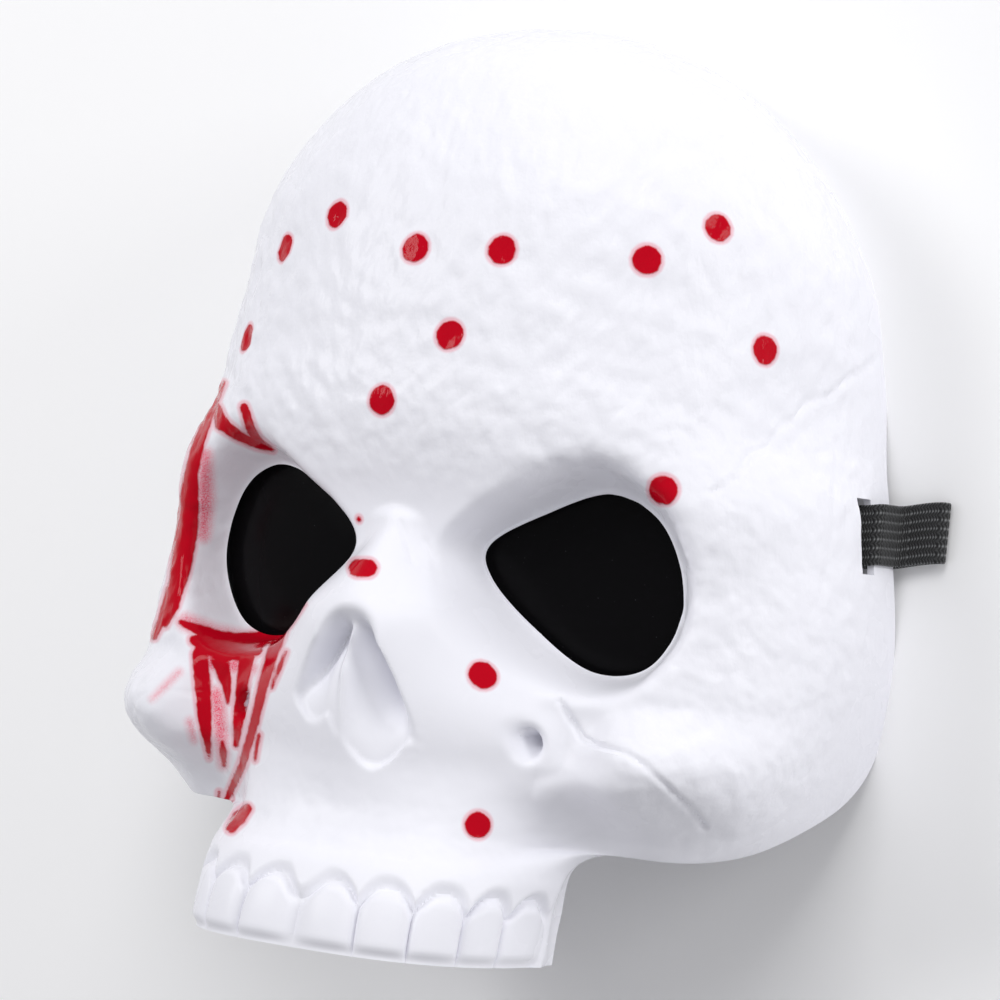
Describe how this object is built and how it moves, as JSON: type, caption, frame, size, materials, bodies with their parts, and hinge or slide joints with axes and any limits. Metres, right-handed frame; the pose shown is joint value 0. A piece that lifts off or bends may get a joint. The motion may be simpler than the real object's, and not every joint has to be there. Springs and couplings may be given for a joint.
{
  "type": "skull mask",
  "caption": "Thin moulded skull mask from crown to upper teeth with deep eye sockets, dark film covers behind the eye openings and a loose elastic strap, resting face up on its rim.",
  "frame": {"origin": "middle of the base of the bounding box, on the surface that the mask rests on", "axes": "+X to the wearer's left, +Y to the crown, +Z out of the face"},
  "size_m": [0.2006, 0.217, 0.1039],
  "materials": {
    "mask_plastic": "glossy white with red painted drops",
    "cover_film": "smooth black film",
    "strap_elastic": "ribbed black elastic"
  },
  "bodies": {
    "root": {"mask_shell": "mask_plastic", "eye_cover_left": "cover_film", "eye_cover_right": "cover_film", "elastic_strap": "strap_elastic"}
  },
  "joints": []
}
